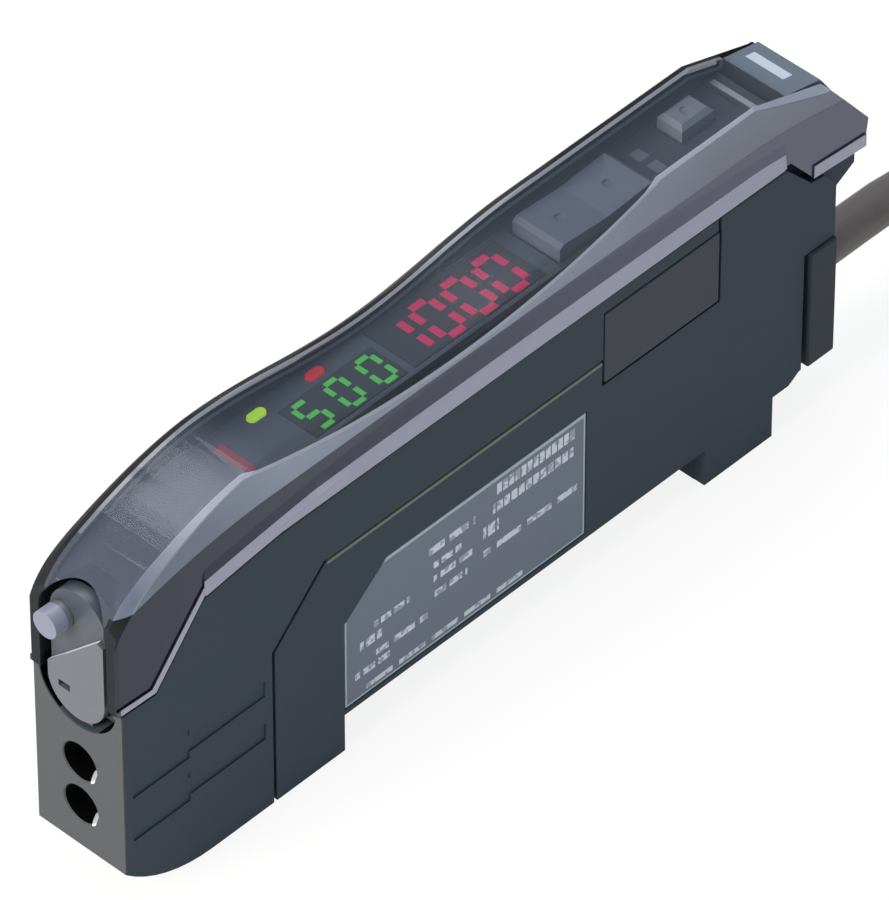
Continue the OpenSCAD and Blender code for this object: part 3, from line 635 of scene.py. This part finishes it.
# Lamps: moulded lenses that carry light up from the display board, lime for the output, red for
# the alarm, and a red bar at the front end of the window.
dress(lit("lime_lens", tint(130, 165, 20), tint(190, 235, 30), 1.1), "lime_lamp")
dress(lit("red_lens", tint(140, 16, 24), tint(220, 16, 24), 0.8), "alarm_lamp")
dress(lit("bar_lens_red", tint(108, 22, 36), tint(190, 30, 50), 0.38), "bar_lens")

# Keys: a rocker on its axle and a bevelled set key, moulded in pale lavender-grey plastic with
# darker finger dots, over small metal switches on the board.
SET_KEY_U = 58
keycap = Finish("key_plastic")
shade = keycap.noise(0.003)
lavender = keycap.blend(shade, tint(119, 127, 149), tint(127, 135, 157))
keycap.set(
    Base_Color=keycap.blend(keycap.x.over(case_x(SET_KEY_U)), lavender, tint(150, 158, 174)),
    Roughness=0.38 + 0.1 * shade,
)
dress(keycap, "rocker_key", "set_key")
soften("rocker_key", 0.00015)
soften("set_key", 0.0001)
tin = Finish("switch_metal")
brushed = tin.noise(0.0004)
tin.set(
    Base_Color=tin.blend(brushed, tint(150, 150, 152), tint(190, 190, 192)),
    Metallic=1.0, Roughness=0.3 + 0.2 * brushed,
)
dress(tin, "tact_switches")

# Boards: glass-fibre laminate under green lacquer, with black moulded chips. The main board
# stands on edge in the tray and the display board lies across the neck. The side connector is
# moulded in the same black and has brass contacts.
laminate = Finish("board_laminate")
weave = laminate.noise(0.0005)
laminate.set(
    Base_Color=laminate.blend(weave, tint(34, 84, 58), tint(48, 104, 72)),
    Roughness=0.35 + 0.1 * weave,
)
dress(laminate, "display_board", "main_board")
epoxy = Finish("chip_black")
speckle = epoxy.noise(0.0003)
epoxy.set(Base_Color=epoxy.blend(speckle, tint(30, 31, 34), tint(42, 43, 46)), Roughness=0.5 + 0.15 * speckle)
dress(epoxy, "board_chips", "expansion_socket")
brass = Finish("contact_brass")
rub = brass.noise(0.0003)
brass.set(
    Base_Color=brass.blend(rub, tint(196, 160, 84), tint(214, 180, 104)),
    Metallic=1.0, Roughness=0.25 + 0.15 * rub,
)
dress(brass, "socket_pins")

# Optics: a moulded black holder behind the ports, set into the case, that lines up the clear
# emitter with the upper fibre and the dark receiver with the lower one.
holder = Finish("holder_black")
dull = holder.noise(0.001)
holder.set(Base_Color=holder.blend(dull, tint(26, 27, 30), tint(34, 35, 38)), Roughness=0.6 + 0.1 * dull)
dress(holder, "optic_holder")
dress(lit("clear_optic", tint(216, 220, 226), tint(255, 90, 70), 0.3), "emitter_led")
receiver = Finish("dark_optic")
murk = receiver.noise(0.001)
receiver.set(
    Base_Color=receiver.blend(murk, tint(40, 42, 62), tint(52, 54, 78)),
    Roughness=0.15 + 0.05 * murk,
)
dress(receiver, "receiver_diode")

# Fibre lever: lavender-grey plastic that turns on a steel pin and presses a rubber block on the
# fibres. A slanted ledge crosses its front plate, with a slot below it, and a polished stud takes
# the thumb. The ledge and the stud carry a painted highlight, and the lever behind its front plate
# is painted darker as shade.
STUD_U = -0.2
BODY_U = 0.2
LEDGE_U = (-0.06, 0.29)
LEDGE_Y = (-0.00215, 0.0029)
LEDGE_SLANT = (0.0217, 0.0227)
handle = Finish("lever_plastic")
blush = handle.noise(0.003)
# Painted highlight: the thumb stud is painted paler than the plate.
stud_highlight = handle.x.under(case_x(STUD_U))
# Painted highlight: the top and edge of the slanted ledge are painted pale.
ledge_highlight = handle.x.between(*stretch(LEDGE_U)) * handle.y.between(*LEDGE_Y)
ledge_highlight = ledge_highlight * (handle.z + handle.y).between(*LEDGE_SLANT)
grip = handle.blend(blush, tint(70, 73, 81), tint(76, 79, 87))
# Painted shade: the lever behind its front plate is painted darker.
grip = handle.blend(handle.x.over(case_x(BODY_U)), grip, tint(50, 55, 65))
grip = handle.blend(ledge_highlight, grip, tint(176, 178, 188))
handle.set(
    Base_Color=handle.blend(stud_highlight, grip, tint(97, 101, 120)),
    Roughness=0.36 + 0.1 * blush,
)
dress(handle, "fibre_lever")
soften("fibre_lever", 0.00018)
steel = Finish("pin_steel")
drawn = steel.noise(0.0004)
steel.set(
    Base_Color=steel.blend(drawn, tint(56, 58, 62), tint(70, 72, 76)),
    Metallic=1.0, Roughness=0.4 + 0.1 * drawn,
)
dress(steel, "lever_pin")
rubber = Finish("grip_rubber")
dust = rubber.noise(0.0006)
rubber.set(Base_Color=rubber.blend(dust, tint(38, 38, 40), tint(52, 52, 54)), Roughness=0.75 + 0.1 * dust)
dress(rubber, "fibre_grip")

# Expansion cover: a lid of a warmer grey plastic, spark-eroded as the case is. It closes the
# pocket of the side connector, snaps in by two legs and pulls straight out.
lid = Finish("pocket_plastic")
tone = lid.noise(0.004)
lid.set(
    Base_Color=lid.blend(tone, tint(52, 56, 64), tint(58, 62, 70)),
    Roughness=0.5 + 0.12 * tone,
    Specular_IOR_Level=0.15,
)
lid.bump(lid.specks(0.0003), 0.00001)
dress(lid, "expansion_cover")
soften("expansion_cover", 0.00014)

# Cable bush: a flexible corner block of dark grey plastic, moulded round the cable. It slides
# into the slot at the rear of the case and takes the strain of the cable.
bush = Finish("bush_plastic")
tone = bush.noise(0.004)
bush.set(
    Base_Color=bush.blend(tone, tint(38, 45, 51), tint(44, 51, 57)),
    Roughness=0.5 + 0.12 * tone,
    Specular_IOR_Level=0.15,
)
dress(bush, "cable_bush")
soften("cable_bush", 0.0002)

# Tie: a flat strap of black plastic, closed round one side of the folded cable. It holds the
# turns together, as the cable leaves the factory.
strap = Finish("tie_strap")
tone = strap.noise(0.001)
strap.set(Base_Color=strap.blend(tone, tint(38, 40, 43), tint(50, 52, 55)), Roughness=0.45 + 0.1 * tone)
dress(strap, "coil_tie")
soften("coil_tie", 0.0001)
